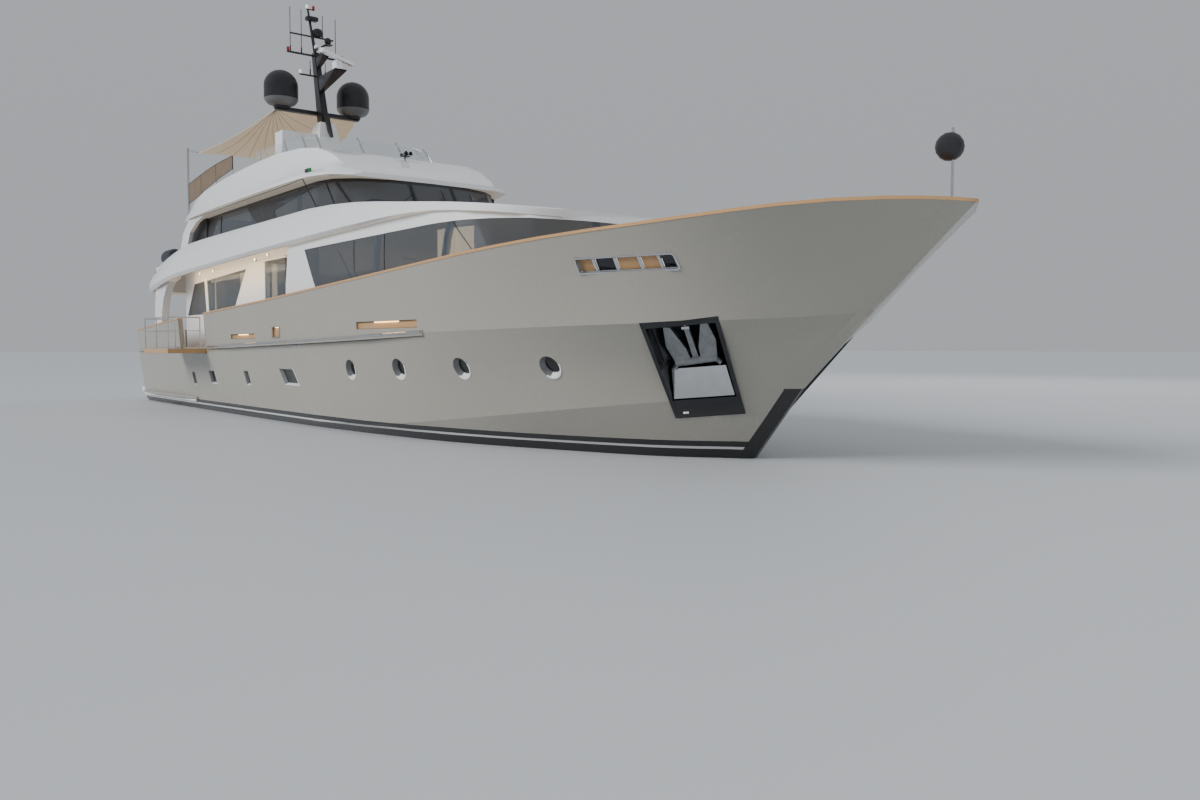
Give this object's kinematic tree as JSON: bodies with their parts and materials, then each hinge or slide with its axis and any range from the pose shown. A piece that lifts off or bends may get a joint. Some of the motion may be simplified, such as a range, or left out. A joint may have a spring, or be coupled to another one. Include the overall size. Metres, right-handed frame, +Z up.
{
  "type": "motor yacht",
  "caption": "Three-deck motor yacht with flared bow, wide forward cabin, fold-down balconies, sundeck awning and mast.",
  "frame": {"origin": "on the centreline at the waterline, half way between the bow tip and the aft edge of the swim platform", "axes": "+X to the bow, +Y to port, +Z up; Z is 0 at the waterline"},
  "size_m": [33.532, 9.7, 15.2603],
  "materials": {
    "awning_cloth": "beige pleated awning cloth",
    "black_paint": "black satin paint",
    "bronze": "nickel aluminium bronze",
    "cover_cloth": "dark grey cover",
    "cushion": "outdoor upholstery",
    "fin_paint": "black antifouling over moulded foil",
    "hull_paint": "satin greige topsides, black boot stripe and antifouling",
    "mesh_cloth": "brown open mesh cloth",
    "polished_steel": "polished stainless",
    "stainless": "stainless tube",
    "teak": "oiled teak",
    "tinted_glass": "dark tinted safety glass",
    "white_gelcoat": "glossy white moulding"
  },
  "bodies": {
    "yacht": {"hull": "hull_paint", "swim_platform": "teak", "cap_rail_forward": "teak", "cap_rail_aft_starboard": "teak", "cap_rail_aft_port": "teak", "cap_rail_stern": "teak", "main_deckhouse": "white_gelcoat", "upper_deck": "white_gelcoat", "cabin_glass": "tinted_glass", "saloon_glass_starboard": "tinted_glass", "saloon_glass_port": "tinted_glass", "sundeck": "white_gelcoat", "wheelhouse": "white_gelcoat", "wheelhouse_glass": "tinted_glass", "sundeck_windscreen": "tinted_glass", "mast_base": "white_gelcoat", "mast": "black_paint", "satellite_dome_starboard": "black_paint", "satellite_dome_port": "black_paint", "awning": "awning_cloth", "awning_pole_starboard": "stainless", "windbreak_cloth_starboard": "mesh_cloth", "awning_pole_port": "stainless", "windbreak_cloth_port": "mesh_cloth", "sundeck_bar": "white_gelcoat", "sundeck_sofa": "cushion", "sundeck_sunbed": "cushion", "upper_aft_rail": "stainless", "liferaft": "cover_cloth", "aft_sofa": "cushion", "aft_table": "teak", "helm_console": "black_paint", "anchor_pocket_starboard": "polished_steel", "anchor_starboard": "polished_steel", "anchor_pocket_port": "polished_steel", "anchor_port": "polished_steel", "jackstaff": "black_paint", "windlass": "stainless", "foredeck_sunpad": "cushion", "shaft_bracket_starboard": "bronze", "shaft_bracket_port": "bronze"},
    "balcony_starboard_body": {"balcony_starboard": "teak"},
    "balcony_port_body": {"balcony_port": "teak"},
    "transom_hatch_body": {"transom_hatch": "hull_paint"},
    "side_door_starboard_body": {"side_door_starboard": "tinted_glass"},
    "side_door_port_body": {"side_door_port": "tinted_glass"},
    "saloon_door_starboard_body": {"saloon_door_starboard": "tinted_glass"},
    "saloon_door_port_body": {"saloon_door_port": "tinted_glass"},
    "upper_door_starboard_body": {"upper_door_starboard": "tinted_glass"},
    "upper_door_port_body": {"upper_door_port": "tinted_glass"},
    "radar_scanner_body": {"radar_scanner": "white_gelcoat"},
    "foredeck_hatch_body": {"foredeck_hatch": "white_gelcoat"},
    "propeller_starboard_body": {"propeller_starboard": "bronze"},
    "propeller_port_body": {"propeller_port": "bronze"},
    "rudder_starboard_body": {"rudder_starboard": "bronze"},
    "rudder_port_body": {"rudder_port": "bronze"},
    "stabiliser_fin_starboard_body": {"stabiliser_fin_starboard": "fin_paint"},
    "stabiliser_fin_port_body": {"stabiliser_fin_port": "fin_paint"}
  },
  "joints": [
    {"name": "balcony_starboard_fold", "type": "hinge", "parent": "yacht", "child": "balcony_starboard_body", "pos_m": [-8.35, -3.73, 1.88], "axis": [-1, 0, 0], "range_deg": [0, 90]},
    {"name": "side_door_starboard_slide", "type": "slide", "parent": "yacht", "child": "side_door_starboard_body", "axis": [-1, 0, 0], "range_m": [0, 1.35]},
    {"name": "saloon_door_starboard_slide", "type": "slide", "parent": "yacht", "child": "saloon_door_starboard_body", "axis": [0, -1, 0], "range_m": [0, 1.05]},
    {"name": "upper_door_starboard_slide", "type": "slide", "parent": "yacht", "child": "upper_door_starboard_body", "axis": [0, -1, 0], "range_m": [0, 1.1]},
    {"name": "propeller_starboard_spin", "type": "hinge", "parent": "yacht", "child": "propeller_starboard_body", "pos_m": [-12.55, -1.45, -1.4], "axis": [0.9981, 0, 0.061], "continuous": true},
    {"name": "rudder_starboard_steer", "type": "hinge", "parent": "yacht", "child": "rudder_starboard_body", "pos_m": [-13.95, -1.45, -1.2], "axis": [0, 0, 1], "range_deg": [-35, 35]},
    {"name": "stabiliser_fin_starboard_tilt", "type": "hinge", "parent": "yacht", "child": "stabiliser_fin_starboard_body", "pos_m": [-1.2, -2.92, -0.93], "axis": [0, -0.769, -0.6392], "range_deg": [-20, 20]},
    {"name": "balcony_port_fold", "type": "hinge", "parent": "yacht", "child": "balcony_port_body", "pos_m": [-8.35, 3.73, 1.88], "axis": [1, 0, 0], "range_deg": [0, 90]},
    {"name": "side_door_port_slide", "type": "slide", "parent": "yacht", "child": "side_door_port_body", "axis": [-1, 0, 0], "range_m": [0, 1.35]},
    {"name": "saloon_door_port_slide", "type": "slide", "parent": "yacht", "child": "saloon_door_port_body", "axis": [0, 1, 0], "range_m": [0, 1.05]},
    {"name": "upper_door_port_slide", "type": "slide", "parent": "yacht", "child": "upper_door_port_body", "axis": [0, 1, 0], "range_m": [0, 1.1]},
    {"name": "propeller_port_spin", "type": "hinge", "parent": "yacht", "child": "propeller_port_body", "pos_m": [-12.55, 1.45, -1.4], "axis": [0.9981, 0, 0.061], "continuous": true},
    {"name": "rudder_port_steer", "type": "hinge", "parent": "yacht", "child": "rudder_port_body", "pos_m": [-13.95, 1.45, -1.2], "axis": [0, 0, 1], "range_deg": [-35, 35]},
    {"name": "stabiliser_fin_port_tilt", "type": "hinge", "parent": "yacht", "child": "stabiliser_fin_port_body", "pos_m": [-1.2, 2.92, -0.93], "axis": [0, 0.769, -0.6392], "range_deg": [-20, 20]},
    {"name": "transom_hatch_lift", "type": "hinge", "parent": "yacht", "child": "transom_hatch_body", "pos_m": [-15.594, 0, 1.855], "axis": [0, 1, 0], "range_deg": [0, 90]},
    {"name": "foredeck_hatch_lift", "type": "hinge", "parent": "yacht", "child": "foredeck_hatch_body", "pos_m": [12.08, 0, 3.2008], "axis": [0, -1, 0], "range_deg": [0, 80]},
    {"name": "radar_scanner_spin", "type": "hinge", "parent": "yacht", "child": "radar_scanner_body", "pos_m": [-5.45, 0, 11.02], "axis": [0, 0, 1], "continuous": true}
  ],
  "couplings": [
    {"joint": "rudder_port_steer", "follows": "rudder_starboard_steer", "ratio": 1}
  ]
}
